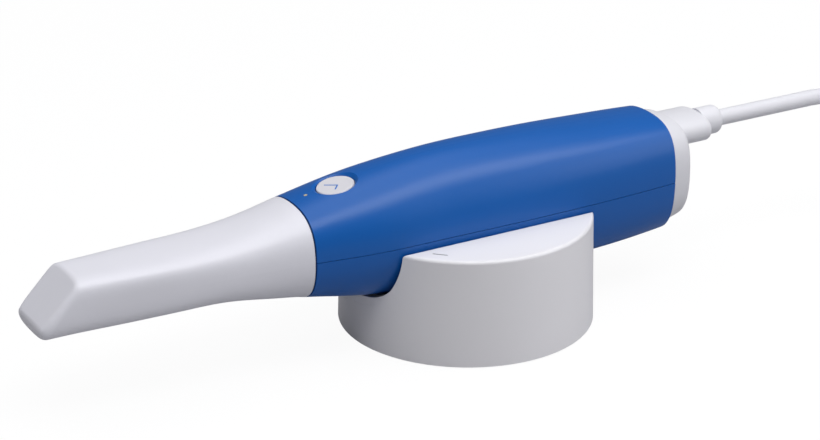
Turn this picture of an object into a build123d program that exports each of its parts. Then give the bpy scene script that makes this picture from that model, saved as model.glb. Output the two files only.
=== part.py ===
"""Intraoral scanner lying in its round desk cradle, with its cable.

Millimetres, +Z up. The origin is the middle of the cradle's foot, on the desk. The scanner lies
along X, its tip towards -X and its cable leaving towards +X.
"""

import os
from math import atan2, cos, degrees, pi, radians, sin, tan

from build123d import *

os.makedirs("parts", exist_ok=True)

# Running and fitting gaps
slip_gap = 0.05
running_gap = 0.3
cut_overrun = 1.0

# Desk cradle
cradle_foot_radius = 44.3
cradle_height = 37.9
cradle_draft_angle = 1.5
cradle_edge_radius = 1.2
cradle_wall = 2.6
trough_gap = 0.4
foot_pad_thickness = 2.0
foot_pad_proud = 0.4
base_plate_thickness = 2.2
ballast_gap = 2.8
ballast_thickness = 6.5
post_radius = 3.6
post_edge_gap = 2.5
post_turn = 61.3
index_line_length = 5.2
index_line_width = 0.6
index_line_depth = 0.3
index_line_inset = 6.1
index_line_turn = 225.5

# Handpiece shell: its outline is widest at the parting plane
parting_rise = 1.9
shell_front_reach = 66.9
shell_length = 141.1
shell_half_width = 21.3
shell_crown = 23.6
shell_keel = 24.9
shell_wall = 2.0
parting_groove = 0.2
lip_height = 1.6
lip_wall = 0.9

# Tip, which slides on over the nose barrel
tip_length = 91.9
tip_half_width = 11.4
tip_rise = 8.3
tip_drop = 10.1
tip_wall = 1.7
tip_slope_angle = 45.0
tip_front_height = 4.9
tip_nose_radius = 2.6
window_setback = 20.2
window_relief = 0.65
window_half_width = 7.8
window_length = 15.0
mirror_thickness = 1.4
tip_pull_clear = 4.0

# Nose barrel
barrel_gap = 0.4
barrel_wall = 1.8
barrel_length = 30.0
barrel_root = 4.0
nose_glass_thickness = 1.5
seal_thickness = 0.5
seal_setback = 0.45

# Scan button and status light
button_setback = 16.0
button_radius = 6.4
button_sink = 0.9
button_travel = 0.6
button_flange = 1.0
dish_radius = 8.1
dish_rim_depth = 1.2
button_boss_wall = 2.4
button_boss_depth = 3.6
button_post_radius = 2.0
button_post_across = 10.2
button_board_depth = 9.0
button_board_thickness = 1.2
button_board_width = 24.4
button_board_front = 13.0
button_board_rear = 8.0
switch_width = 6.0
nub_radius = 1.5
nub_height = 0.9
light_setback = 5.2
light_radius = 0.6

# Power button under the rear of the shell
power_button_setback = 13.0
power_button_radius = 4.0
power_button_sink = 0.3
power_button_travel = 0.5
power_flange_thickness = 1.0
power_flange_lift = 1.0

# Inner chassis, which carries the optics and the boards
chassis_drop = 15.8
chassis_thickness = 2.5
chassis_half_width = 10.0
chassis_front_gap = 19.0
chassis_rear_gap = 14.0
chassis_wall_thickness = 2.4
chassis_wall_height = 31.0
boss_radius = 3.0
boss_inset = 9.5
boss_across = 7.0
screw_radius = 1.2
screw_head_radius = 2.3
screw_head_height = 1.4
screw_depth = 4.0

# Optics on the chassis
axis_drop = 1.0
lens_barrel_radius = 8.5
lens_barrel_bore = 7.0
lens_barrel_length = 20.0
lens_thickness = 2.6
lens_crown = 0.8
lens_count = 3
saddle_length = 4.0
prism_width = 12.0
prism_gap = 0.6
camera_board_width = 21.0
camera_board_height = 21.5
camera_board_thickness = 1.6
sensor_width = 8.0
sensor_thickness = 1.2
projector_height = 8.0
projector_width = 14.0
projector_sink_height = 4.5
fin_thickness = 1.2

# Electronics
main_board_thickness = 1.6
main_board_half_width = 13.5
main_board_rear_gap = 1.5
standoff_height = 4.5
standoff_radius = 2.4
processor_width = 16.0
processor_thickness = 1.8
memory_length = 9.0
memory_width = 7.0
memory_thickness = 1.1
sink_width = 22.0
sink_height = 9.0
motor_radius = 5.0
motor_thickness = 3.0
socket_board_thickness = 1.6
socket_board_half_width = 9.0
socket_board_height = 12.0

# Rear cap
cap_length = 9.3
cap_side_setback = 0.5
cap_top_setback = 1.3
cap_bottom_setback = 1.8
cap_side_taper = 0.7
cap_top_taper = 1.0
cap_bottom_taper = 1.4
cap_wall = 2.0
cap_edge_radius = 3.8
cap_skirt_length = 4.5

# Cable and its plug in the rear cap
cable_rise = 12.5
cable_radius = 2.95
plug_half_width = 10.5
plug_half_height = 5.2
plug_length = 12.9
plug_buried = 7.0
plug_edge_radius = 1.8
plug_fit = 0.25
plug_tongue_length = 7.0
plug_tongue_half_width = 6.0
plug_tongue_half_height = 2.2
plug_tongue_wall = 0.45
socket_half_width = 8.0
socket_half_height = 4.2
collar_radius = 5.2
collar_length = 8.9
collar_edge_radius = 1.8

# Way of the cable from its collar to the coil beside the cradle
cable_run = 129.6
cable_sideways = 6.2

# Coil of the stored cable, and the plug at the hub end
coil_turn_radius = 32.15
coil_turns_per_layer = 4.5
coil_edge_radius = 2.4
hub_plug_half_width = 7.6
hub_plug_half_height = 4.2
hub_plug_length = 21.0
hub_plug_edge_radius = 1.4
hub_tongue_length = 6.6
hub_tongue_half_width = 4.2
hub_tongue_half_height = 1.25
hub_tongue_wall = 0.35
hub_collar_radius = 3.9
hub_collar_length = 9.0
hub_collar_edge_radius = 1.2
tail_run = 21.0
tail_first_turn = 26.0
tail_turn = 30.0

# Stations of the shell from its front end to its rear end: how far along the shell, and the shares
# of the half width, the crown and the keel there
shell_outline_shares = (
    (0.00, 0.822, 0.653, 0.671),
    (0.15, 0.955, 0.841, 0.851),
    (0.35, 0.984, 0.985, 0.980),
    (0.60, 1.000, 1.000, 1.000),
    (0.85, 0.953, 0.941, 0.952),
    (1.00, 0.883, 0.898, 0.871),
    (1.10, 0.820, 0.860, 0.800),
)
# Stations of the tip from its nose to the joint: how far from the joint along the tip, and the
# shares of the way from the joint's half width, rise and drop to the nose's
tip_outline_shares = (
    (1.000, 1.00, 1.000, 1.00),
    (0.870, 0.97, 1.000, 1.00),
    (0.695, 0.80, 1.000, 1.00),
    (0.504, 0.60, 0.970, 1.00),
    (0.330, 0.49, 0.855, 0.90),
    (0.173, 0.33, 0.550, 0.51),
)
# Squareness of the outline above and below the parting plane: how long each corner curve's
# handles are as a share of its half axis, 0.55 for an ellipse and 1 for a square
tip_square_shares = (
    (1.000, 0.945, 0.909),
    (0.504, 0.945, 0.909),
    (0.330, 0.878, 0.842),
    (0.173, 0.791, 0.758),
)
joint_square_shares = (0.705, 0.662)
rear_square_shares = (0.775, 0.739)
oval_square_share = 0.66
processor_place_share = 0.3
# Bends of the cable take up this share of the shorter straight run on each side
bend_share = 0.45
# Way of the cable to the coil: shares of its run, of its way sideways and of its fall
cable_route_shares = (
    (0.000, 0.000, 0.000),
    (0.426, 0.000, 0.000),
    (0.578, -0.242, 0.235),
    (0.700, -0.887, 0.753),
    (0.845, -0.484, 1.000),
    (1.000, 1.000, 1.000),
)
# Way of the cable off the coil and on top of it: shares of the run and of the rise at each point
tail_shares = (
    (1.00, 0.82),
    (1.00, 1.00),
    (1.00, 1.00),
)

# Places that follow from the sizes above
parting_height = cradle_height + parting_rise
joint_x = -shell_front_reach
shell_rear_x = joint_x + shell_length
tip_end_x = joint_x - tip_length
tip_rear_x = joint_x - seal_thickness - slip_gap * 2
widest_x = joint_x + shell_outline_shares[3][0] * shell_length
cable_height = parting_height + cable_rise
axis_height = parting_height - axis_drop


def build_stations():
    """Stations along the whole handpiece: place, half width, rise, drop and the two squarenesses."""
    first = shell_outline_shares[0]
    joint = (shell_half_width * first[1], shell_crown * first[2], shell_keel * first[3])
    nose = (tip_half_width, tip_rise, tip_drop)
    stations = []
    for along, *shares in tip_outline_shares:
        sizes = [a + (b - a) * share for a, b, share in zip(joint, nose, shares)]
        stations.append((joint_x - along * tip_length, *sizes))
    for along, *shares in shell_outline_shares:
        sizes = [full * share for full, share in zip((shell_half_width, shell_crown, shell_keel), shares)]
        stations.append((joint_x + along * shell_length, *sizes))
    return stations


def build_squareness():
    """Places along the handpiece with the squareness above and below the parting plane."""
    places = [(joint_x - along * tip_length, upper, lower) for along, upper, lower in tip_square_shares]
    places.append((joint_x, *joint_square_shares))
    places.append((stations[-1][0], *rear_square_shares))
    return places


def smooth_value(rows, column, place):
    """Value of a column on the smooth curve through the rows, at a place along the handpiece."""
    last = len(rows) - 1
    index = max(0, min(last - 1, sum(1 for row in rows[1:-1] if row[0] <= place)))

    def slope(row):
        before = max(row - 1, 0)
        after = min(row + 1, last)
        if before == row or after == row:
            return (rows[after][column] - rows[before][column]) / (rows[after][0] - rows[before][0])
        gap_before = rows[row][0] - rows[before][0]
        gap_after = rows[after][0] - rows[row][0]
        slope_before = (rows[row][column] - rows[before][column]) / gap_before
        slope_after = (rows[after][column] - rows[row][column]) / gap_after
        return (slope_before * gap_after + slope_after * gap_before) / (gap_before + gap_after)

    span = rows[index + 1][0] - rows[index][0]
    part = (place - rows[index][0]) / span
    start = rows[index][column] * (1 + 2 * part) * (1 - part) ** 2
    end = rows[index + 1][column] * part**2 * (3 - 2 * part)
    start_pull = span * slope(index) * part * (1 - part) ** 2
    end_pull = span * slope(index + 1) * part**2 * (part - 1)
    return start + end + start_pull + end_pull


stations = build_stations()
squareness = build_squareness()


def outline_at(place):
    """Half width, rise, drop and the squareness above and below, at a place along the handpiece."""
    sizes = [smooth_value(stations, column, place) for column in (1, 2, 3)]
    return (*sizes, smooth_value(squareness, 1, place), smooth_value(squareness, 2, place))


def corner_arcs(half_width, height, share, middle):
    """Two quarter curves over one side of a middle height, from +width over to -width."""
    handle = share * height
    reach = share * half_width
    return (
        Bezier((half_width, middle), (half_width, middle + handle), (reach, middle + height), (0, middle + height)),
        Bezier((0, middle + height), (-reach, middle + height), (-half_width, middle + handle), (-half_width, middle)),
    )


def inset_face(place, side, top, bottom):
    """Closed outline of the handpiece at a place, inside it by a side, top and bottom inset.

    Its four curves stay separate, so that a loft keeps them in line.
    """
    half_width, rise, drop, upper, lower = outline_at(place)
    above = corner_arcs(half_width - side, rise - top, upper, parting_height)
    below = corner_arcs(half_width - side, bottom - drop, lower, parting_height)
    return Plane.YZ.offset(place) * make_face([*above, *below])


def outline_face(place, inset=0):
    """Closed outline of the handpiece at a place, with the same inset all round."""
    return inset_face(place, inset, inset, inset)


def half_face(place, side, inset=0, lift=0):
    """Outline of the handpiece above (side 1) or below (side -1) the parting plane, at a place."""
    half_width, rise, drop, upper, lower = outline_at(place)
    height = (rise if side > 0 else drop) - inset - lift
    middle = parting_height + side * lift
    arcs = corner_arcs(half_width - inset, side * height, upper if side > 0 else lower, middle)
    base = Line((inset - half_width, middle), (half_width - inset, middle))
    return Plane.YZ.offset(place) * make_face([*arcs, base])


def places_between(start, end, steps):
    """Even places from start to end, both included."""
    return [start + (end - start) * step / steps for step in range(steps + 1)]


def outline_faces(start, end, steps, inset=0):
    """Full outlines at even places, ready to loft."""
    return [outline_face(place, inset) for place in places_between(start, end, steps)]


def half_faces(start, end, steps, side, inset=0, lift=0):
    """Half outlines at even places, ready to loft."""
    return [half_face(place, side, inset, lift) for place in places_between(start, end, steps)]


def oval_face(half_width, half_height, plane):
    """Soft oval outline on a plane, wide along the plane's X."""
    above = corner_arcs(half_width, half_height, oval_square_share, 0)
    below = corner_arcs(half_width, -half_height, oval_square_share, 0)
    return plane * make_face([*above, *below])


def finish(part, name):
    """Label a finished piece and write it to its own file."""
    part.label = name
    export_step(part, f"parts/{name}.step")


# Desk cradle: a drafted drum with a trough along X that follows the underside of the shell
shell_rim_height = foot_pad_proud
drum_height = cradle_height - shell_rim_height
drum_inner_radius = cradle_foot_radius - cradle_wall
drum_slope = tan(radians(cradle_draft_angle))


def trough_face(growth):
    """Section of the trough, larger than the shell's widest section by a growth all round."""
    half_width, _, drop, _, lower = outline_at(widest_x)
    arcs = corner_arcs(half_width + growth, -drop - growth, lower, parting_height)
    return Plane.YZ * make_face([*arcs, Line((-half_width - growth, parting_height), (half_width + growth, parting_height))])


trough_profile = trough_face(trough_gap)
trough_skin_profile = trough_face(trough_gap + cradle_wall)

base_plate_bottom = foot_pad_thickness
base_plate_top = base_plate_bottom + base_plate_thickness
base_radius = drum_inner_radius - base_plate_top * drum_slope - slip_gap * 2
post_place_radius = base_radius - post_radius - post_edge_gap
post_x = post_place_radius * cos(radians(post_turn))
post_y = post_place_radius * sin(radians(post_turn))
post_places = [(x, y) for x in (-post_x, post_x) for y in (-post_y, post_y)]

with BuildPart() as drum_cavity:
    with BuildSketch(Plane.XY.offset(shell_rim_height)):
        Circle(drum_inner_radius)
    extrude(amount=drum_height - cradle_wall, taper=cradle_draft_angle)
    extrude(trough_skin_profile, amount=cradle_foot_radius, both=True, mode=Mode.SUBTRACT)
    with BuildSketch(Plane.XY.offset(base_plate_top)):
        with Locations(*post_places):
            Circle(post_radius)
    extrude(amount=drum_height, mode=Mode.SUBTRACT)

with BuildPart() as cradle_shell:
    with BuildSketch(Plane.XY.offset(shell_rim_height)):
        Circle(cradle_foot_radius)
    extrude(amount=drum_height, taper=cradle_draft_angle)
    extrude(trough_profile, amount=cradle_foot_radius + cut_overrun, both=True, mode=Mode.SUBTRACT)
    fillet(cradle_shell.faces().group_by(Axis.Z)[-1].edges(), cradle_edge_radius)
    add(drum_cavity.part, mode=Mode.SUBTRACT)
    with BuildSketch(Plane.XY.offset(base_plate_top)):
        with Locations(*post_places):
            Circle(screw_radius + slip_gap)
    extrude(amount=screw_depth * 2, mode=Mode.SUBTRACT)
    with BuildSketch(Plane.XY.offset(cradle_height)):
        turn = radians(index_line_turn)
        reach = cradle_foot_radius - index_line_inset
        with Locations((reach * cos(turn), reach * sin(turn))):
            SlotOverall(index_line_length, index_line_width, rotation=index_line_turn + 90)
    extrude(amount=-index_line_depth, mode=Mode.SUBTRACT)
finish(cradle_shell.part, "cradle_shell")

with BuildPart() as cradle_base_plate:
    with BuildSketch(Plane.XY.offset(base_plate_bottom)):
        Circle(base_radius)
    extrude(amount=base_plate_thickness)
    with Locations(*[Location((x, y, base_plate_bottom)) for x, y in post_places]):
        with Locations(Rotation(180, 0, 0)):
            CounterBoreHole(
                screw_radius + slip_gap, screw_head_radius + slip_gap, screw_head_height, base_plate_thickness
            )
finish(cradle_base_plate.part, "cradle_base_plate")

with BuildPart() as cradle_screws:
    with BuildSketch(Plane.XY.offset(base_plate_bottom)):
        with Locations(*post_places):
            Circle(screw_head_radius)
    extrude(amount=screw_head_height)
    with BuildSketch(Plane.XY.offset(base_plate_bottom)):
        with Locations(*post_places):
            Circle(screw_radius)
    extrude(amount=base_plate_thickness + screw_depth)
finish(cradle_screws.part, "cradle_screws")

with BuildPart() as cradle_foot_pad:
    with BuildSketch():
        Circle(base_radius)
    extrude(amount=foot_pad_thickness)
    chamfer(cradle_foot_pad.edges().sort_by(Axis.Z)[0], foot_pad_proud)
finish(cradle_foot_pad.part, "cradle_foot_pad")

with BuildPart() as cradle_ballast:
    with BuildSketch(Plane.XY.offset(base_plate_top)):
        Circle(post_place_radius - post_radius - ballast_gap)
    extrude(amount=ballast_thickness)
finish(cradle_ballast.part, "cradle_ballast")

# Handpiece shell halves, which meet at the parting plane with a fine groove and an inner lip
shell_steps = 18
upper_outer_faces = half_faces(joint_x, shell_rear_x, shell_steps, 1, 0, parting_groove / 2)
lower_outer_faces = half_faces(joint_x, shell_rear_x, shell_steps, -1, 0, parting_groove / 2)
shell_inner_faces = outline_faces(joint_x - cut_overrun, shell_rear_x + cut_overrun, shell_steps, shell_wall)
# Middle of the wall, where bosses and posts end inside it
wall_middle_faces = outline_faces(joint_x, shell_rear_x, shell_steps, shell_wall / 2)
lip_inset = shell_wall - lip_wall


def side_strip(inner_inset, outer_inset, side):
    """Strip along one side wall at the parting plane, between two insets from the outline."""
    places = places_between(joint_x, shell_rear_x, shell_steps)
    outer = [(place, side * (outline_at(place)[0] - outer_inset)) for place in places]
    inner = [(place, side * (outline_at(place)[0] - inner_inset)) for place in places]
    edges = [Spline(*outer), Line(outer[-1], inner[-1]), Spline(*inner), Line(inner[0], outer[0])]
    return Plane.XY.offset(parting_height) * make_face(edges)


lip_strips = [side_strip(shell_wall - slip_gap * 2, lip_inset, side) for side in (-1, 1)]
rebate_strips = [side_strip(shell_wall + cut_overrun, lip_inset - slip_gap, side) for side in (-1, 1)]

# Frame of the scan button, square to the crown
button_x = joint_x + button_setback
button_top_z = parting_height + outline_at(button_x)[1]
crown_step = button_radius
crown_rise = outline_at(button_x + crown_step)[1] - outline_at(button_x - crown_step)[1]
button_tilt = degrees(atan2(crown_rise, crown_step * 2))
button_plane = Plane(
    origin=(button_x, 0, button_top_z),
    x_dir=(cos(radians(button_tilt)), 0, sin(radians(button_tilt))),
    z_dir=(-sin(radians(button_tilt)), 0, cos(radians(button_tilt))),
)
light_offset = (light_setback - button_setback) / cos(radians(button_tilt))
button_bore_radius = button_radius + running_gap
boss_radius_at_button = dish_radius + button_boss_wall

with BuildPart() as upper_solid:
    loft(sections=upper_outer_faces, clean=False)

with BuildPart() as wall_middle_solid:
    loft(sections=wall_middle_faces, clean=False)

with BuildPart() as button_mount:
    with BuildSketch(button_plane):
        Circle(boss_radius_at_button)
    extrude(amount=-button_boss_depth)
    with BuildSketch(button_plane):
        with Locations((0, -button_post_across), (0, button_post_across)):
            Circle(button_post_radius)
    extrude(amount=-button_board_depth)
    add(wall_middle_solid.part, mode=Mode.INTERSECT)

with BuildPart() as upper_housing:
    loft(sections=upper_outer_faces, clean=False)
    loft(sections=shell_inner_faces, clean=False, mode=Mode.SUBTRACT)
    for strip in rebate_strips:
        extrude(strip, amount=lip_height + slip_gap * 2, mode=Mode.SUBTRACT)
    add(button_mount.part)
    with BuildSketch(button_plane.offset(-dish_rim_depth)):
        Circle(button_bore_radius)
    dish_flare = degrees(atan2(dish_radius - button_bore_radius, dish_rim_depth))
    extrude(amount=dish_rim_depth + cut_overrun, taper=-dish_flare, mode=Mode.SUBTRACT)
    with BuildSketch(button_plane):
        Circle(button_bore_radius)
    extrude(amount=-button_boss_depth - cut_overrun, mode=Mode.SUBTRACT)
    with BuildSketch(button_plane.offset(cut_overrun)):
        with Locations((light_offset, 0)):
            Circle(light_radius + slip_gap)
    extrude(amount=-button_board_depth, mode=Mode.SUBTRACT)
finish(upper_housing.part, "upper_housing")

with BuildPart() as scan_button:
    with BuildSketch(button_plane.offset(-button_sink)):
        Circle(button_radius)
    extrude(amount=button_sink - button_boss_depth - button_travel / 2)
    fillet(scan_button.edges().filter_by(GeomType.CIRCLE).sort_by(Axis.Z)[-1], button_sink / 2)
    with BuildSketch(button_plane.offset(-button_boss_depth - button_travel / 2)):
        Circle(button_bore_radius + button_flange)
    extrude(amount=-button_flange)
    with BuildSketch(button_plane.offset(-button_boss_depth - button_travel / 2 - button_flange)):
        Circle(nub_radius)
    extrude(amount=-nub_height)
finish(scan_button.part, "scan_button")

nub_bottom_depth = button_boss_depth + button_travel / 2 + button_flange + nub_height
switch_top_depth = nub_bottom_depth + button_travel + slip_gap * 2

with BuildPart() as button_switch:
    with BuildSketch(button_plane.offset(-switch_top_depth)):
        Rectangle(switch_width, switch_width)
    extrude(amount=switch_top_depth - button_board_depth)
finish(button_switch.part, "button_switch")

with BuildPart() as button_board:
    with BuildSketch(button_plane.offset(-button_board_depth)):
        with Locations(((button_board_rear - button_board_front) / 2, 0)):
            Rectangle(button_board_front + button_board_rear, button_board_width)
    extrude(amount=-button_board_thickness)
finish(button_board.part, "button_board")

with BuildPart() as status_light:
    with BuildSketch(button_plane.offset(cut_overrun)):
        with Locations((light_offset, 0)):
            Circle(light_radius)
    extrude(amount=-cut_overrun - button_board_depth)
    add(upper_solid.part, mode=Mode.INTERSECT)
finish(status_light.part, "status_light")

# Chassis level and the places on it
chassis_bottom = parting_height - chassis_drop
chassis_top = chassis_bottom + chassis_thickness
chassis_front_x = joint_x + chassis_front_gap
chassis_rear_x = shell_rear_x - chassis_rear_gap
boss_places = [
    (x, y)
    for x in (chassis_front_x + boss_inset, chassis_rear_x - boss_inset)
    for y in (-boss_across, boss_across)
]
power_button_x = shell_rear_x - power_button_setback
power_floor_z = parting_height - outline_at(power_button_x)[2]

with BuildPart() as chassis_bosses:
    with BuildSketch(Plane.XY.offset(chassis_bottom)):
        with Locations(*boss_places):
            Circle(boss_radius)
    extrude(amount=-shell_keel)
    add(wall_middle_solid.part, mode=Mode.INTERSECT)

with BuildPart() as lower_housing:
    loft(sections=lower_outer_faces, clean=False)
    loft(sections=shell_inner_faces, clean=False, mode=Mode.SUBTRACT)
    add(chassis_bosses.part)
    with BuildSketch(Plane.XY.offset(chassis_bottom)):
        with Locations(*boss_places):
            Circle(screw_radius + slip_gap)
    extrude(amount=-screw_depth - slip_gap, mode=Mode.SUBTRACT)
    for strip in lip_strips:
        extrude(strip, amount=lip_height, both=True)
    with BuildSketch(Plane.XY.offset(power_floor_z - cut_overrun)):
        with Locations((power_button_x, 0)):
            Circle(power_button_radius + running_gap)
    extrude(amount=shell_wall + cut_overrun * 2, mode=Mode.SUBTRACT)
finish(lower_housing.part, "lower_housing")

power_flange_z = power_floor_z + shell_wall + power_flange_lift

with BuildPart() as power_button:
    with BuildSketch(Plane.XY.offset(power_floor_z + power_button_sink)):
        with Locations((power_button_x, 0)):
            Circle(power_button_radius)
    extrude(amount=power_flange_z - power_floor_z - power_button_sink)
    with BuildSketch(Plane.XY.offset(power_flange_z)):
        with Locations((power_button_x, 0)):
            Circle(power_button_radius + power_flange_thickness)
    extrude(amount=power_flange_thickness)
finish(power_button.part, "power_button")

power_switch_z = power_flange_z + power_flange_thickness + power_button_travel + slip_gap * 2

# Optics stand on saddles of the chassis, on the axis of the tip
lens_barrel_front_x = chassis_front_x + slip_gap
lens_barrel_rear_x = lens_barrel_front_x + lens_barrel_length
saddle_places = (lens_barrel_front_x + saddle_length, lens_barrel_rear_x - saddle_length)
prism_front_x = lens_barrel_rear_x + prism_gap
prism_rear_x = prism_front_x + prism_width
prism_middle_x = (prism_front_x + prism_rear_x) / 2
camera_board_x = prism_rear_x + prism_gap + sensor_thickness
main_board_front_x = camera_board_x + camera_board_thickness + prism_gap
chassis_wall_x = chassis_rear_x - chassis_wall_thickness
main_board_rear_x = chassis_wall_x - main_board_rear_gap
main_board_bottom = chassis_top + standoff_height
main_board_top = main_board_bottom + main_board_thickness
standoff_places = [
    (x, y)
    for x in (main_board_front_x + standoff_radius * 2, boss_places[-1][0] - screw_head_radius - standoff_radius * 2)
    for y in (-boss_across, boss_across)
]

with BuildPart() as chassis:
    with BuildSketch(Plane.XY.offset(chassis_bottom)):
        with Locations(((chassis_front_x + chassis_rear_x) / 2, 0)):
            Rectangle(chassis_rear_x - chassis_front_x, chassis_half_width * 2)
    extrude(amount=chassis_thickness)
    with BuildSketch(Plane.XY.offset(chassis_bottom)):
        with Locations((chassis_rear_x - chassis_wall_thickness / 2, 0)):
            Rectangle(chassis_wall_thickness, chassis_half_width * 2)
    extrude(amount=chassis_wall_height)
    with BuildSketch(Plane.XY.offset(chassis_top)):
        with Locations(*[(x, 0) for x in saddle_places]):
            Rectangle(saddle_length, lens_barrel_radius * 2)
        with Locations((prism_middle_x, 0)):
            Rectangle(prism_width, prism_width)
    extrude(amount=axis_height - prism_width / 2 - chassis_top)
    with BuildSketch(Plane.YZ.offset(lens_barrel_front_x)):
        with Locations((0, axis_height)):
            Circle(lens_barrel_radius + slip_gap)
    extrude(amount=lens_barrel_length + slip_gap, mode=Mode.SUBTRACT)
    with BuildSketch(Plane.XY.offset(chassis_top)):
        with Locations(*standoff_places):
            Circle(standoff_radius)
    extrude(amount=standoff_height)
    with BuildSketch(Plane.XY.offset(chassis_top)):
        with Locations(*boss_places):
            Circle(screw_radius + slip_gap)
    extrude(amount=-chassis_thickness, mode=Mode.SUBTRACT)
finish(chassis.part, "chassis")

with BuildPart() as chassis_screws:
    with BuildSketch(Plane.XY.offset(chassis_top)):
        with Locations(*boss_places):
            Circle(screw_head_radius)
    extrude(amount=screw_head_height)
    with BuildSketch(Plane.XY.offset(chassis_top)):
        with Locations(*boss_places):
            Circle(screw_radius)
    extrude(amount=-chassis_thickness - screw_depth)
finish(chassis_screws.part, "chassis_screws")

with BuildPart() as power_switch:
    with BuildSketch(Plane.XY.offset(power_switch_z)):
        with Locations((power_button_x, 0)):
            Rectangle(switch_width, switch_width)
    extrude(amount=chassis_bottom - power_switch_z)
finish(power_switch.part, "power_switch")

with BuildPart() as lens_barrel:
    with BuildSketch(Plane.YZ.offset(lens_barrel_front_x)):
        with Locations((0, axis_height)):
            Circle(lens_barrel_radius)
            Circle(lens_barrel_bore, mode=Mode.SUBTRACT)
    extrude(amount=lens_barrel_length)
finish(lens_barrel.part, "lens_barrel")

# Each lens bulges to both sides by a shallow ball cap
lens_edge_radius = lens_barrel_bore - slip_gap
lens_places = [
    lens_barrel_front_x + lens_barrel_length * (lens + 1 / 2) / lens_count for lens in range(lens_count)
]

with BuildPart() as lens_group:
    for place in lens_places:
        with BuildSketch(Plane.XZ):
            with BuildLine():
                front = place - lens_thickness / 2
                rear = place + lens_thickness / 2
                edge = axis_height + lens_edge_radius
                Line((front, edge), (rear, edge))
                ThreePointArc(
                    (rear, edge),
                    (rear + lens_crown, axis_height),
                    (rear, axis_height - lens_edge_radius),
                )
                Line((rear, axis_height - lens_edge_radius), (front, axis_height - lens_edge_radius))
                ThreePointArc(
                    (front, axis_height - lens_edge_radius),
                    (front - lens_crown, axis_height),
                    (front, edge),
                )
            make_face()
            with Locations(((front + rear) / 2, axis_height - lens_edge_radius)):
                Rectangle(lens_thickness * 3, lens_edge_radius * 2, mode=Mode.SUBTRACT)
        revolve(axis=Axis((0, 0, axis_height), (1, 0, 0)))
finish(lens_group.part, "lens_group")

with BuildPart() as prism:
    with BuildSketch(Plane.YZ.offset(prism_front_x)):
        with Locations((0, axis_height)):
            Rectangle(prism_width, prism_width)
    extrude(amount=prism_width)
finish(prism.part, "prism")

with BuildPart() as camera_board:
    with BuildSketch(Plane.YZ.offset(camera_board_x)):
        with Locations((0, chassis_top)):
            Rectangle(camera_board_width, camera_board_height, align=(Align.CENTER, Align.MIN))
    extrude(amount=camera_board_thickness)
    with BuildSketch(Plane.YZ.offset(camera_board_x)):
        with Locations((0, axis_height)):
            Rectangle(sensor_width, sensor_width)
    extrude(amount=-sensor_thickness)
finish(camera_board.part, "camera_board")

projector_bottom = axis_height + prism_width / 2
projector_top = projector_bottom + projector_height

with BuildPart() as projector_module:
    with BuildSketch(Plane.XY.offset(projector_bottom)):
        with Locations((prism_middle_x, 0)):
            Rectangle(prism_width, projector_width)
    extrude(amount=projector_height)
    chamfer(projector_module.edges().filter_by(Axis.Z), fin_thickness)
finish(projector_module.part, "projector_module")


def fin_grooves(length, width, height, base):
    """Cut places and size of the grooves that leave fins of the fin thickness, across X."""
    count = int(length / fin_thickness / 2)
    pitch = length / count
    return pitch, count, width + cut_overrun, height - base


with BuildPart() as projector_sink:
    with BuildSketch(Plane.XY.offset(projector_top)):
        with Locations((prism_middle_x, 0)):
            Rectangle(prism_width, projector_width - fin_thickness * 2)
    extrude(amount=projector_sink_height)
    pitch, count, groove_width, groove_depth = fin_grooves(
        prism_width, projector_width, projector_sink_height, fin_thickness
    )
    with BuildSketch(Plane.XY.offset(projector_top + projector_sink_height)):
        with Locations((prism_middle_x, 0)):
            with GridLocations(pitch, 1, count - 1, 1):
                Rectangle(pitch / 2, groove_width)
    extrude(amount=-groove_depth, mode=Mode.SUBTRACT)
finish(projector_sink.part, "projector_sink")

# Main board with its processor under a finned sink, and two memory packages
processor_x = main_board_front_x + (main_board_rear_x - main_board_front_x) * processor_place_share
memory_x = processor_x + (sink_width + memory_length) / 2 + fin_thickness

with BuildPart() as main_board:
    with BuildSketch(Plane.XY.offset(main_board_bottom)):
        with Locations(((main_board_front_x + main_board_rear_x) / 2, 0)):
            Rectangle(main_board_rear_x - main_board_front_x, main_board_half_width * 2)
    extrude(amount=main_board_thickness)
    with BuildSketch(Plane.XY.offset(main_board_top)):
        with Locations((processor_x, 0)):
            Rectangle(processor_width, processor_width)
    extrude(amount=processor_thickness)
    with BuildSketch(Plane.XY.offset(main_board_top)):
        with Locations((memory_x, -memory_width), (memory_x, memory_width)):
            Rectangle(memory_length, memory_width)
    extrude(amount=memory_thickness)
finish(main_board.part, "main_board")

sink_bottom = main_board_top + processor_thickness

with BuildPart() as processor_sink:
    with BuildSketch(Plane.XY.offset(sink_bottom)):
        with Locations((processor_x, 0)):
            Rectangle(sink_width, sink_width)
    extrude(amount=sink_height)
    pitch, count, groove_width, groove_depth = fin_grooves(sink_width, sink_width, sink_height, fin_thickness * 2)
    with BuildSketch(Plane.XY.offset(sink_bottom + sink_height)):
        with Locations((processor_x, 0)):
            with GridLocations(pitch, 1, count - 1, 1):
                Rectangle(pitch / 2, groove_width)
    extrude(amount=-groove_depth, mode=Mode.SUBTRACT)
finish(processor_sink.part, "processor_sink")

with BuildPart() as vibration_motor:
    with BuildSketch(Plane.XY.offset(chassis_bottom)):
        with Locations((processor_x, 0)):
            Circle(motor_radius)
    extrude(amount=-motor_thickness)
finish(vibration_motor.part, "vibration_motor")

# Cable socket on its own board behind the chassis wall
socket_front_x = chassis_rear_x + socket_board_thickness
plug_front_x = shell_rear_x + cap_length - plug_buried
socket_slot_half_width = plug_tongue_half_width + slip_gap * 2
socket_slot_half_height = plug_tongue_half_height + slip_gap * 2
socket_core_half_width = plug_tongue_half_width - plug_tongue_wall * 3
socket_core_half_height = (plug_tongue_half_height - plug_tongue_wall) / 2

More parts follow.
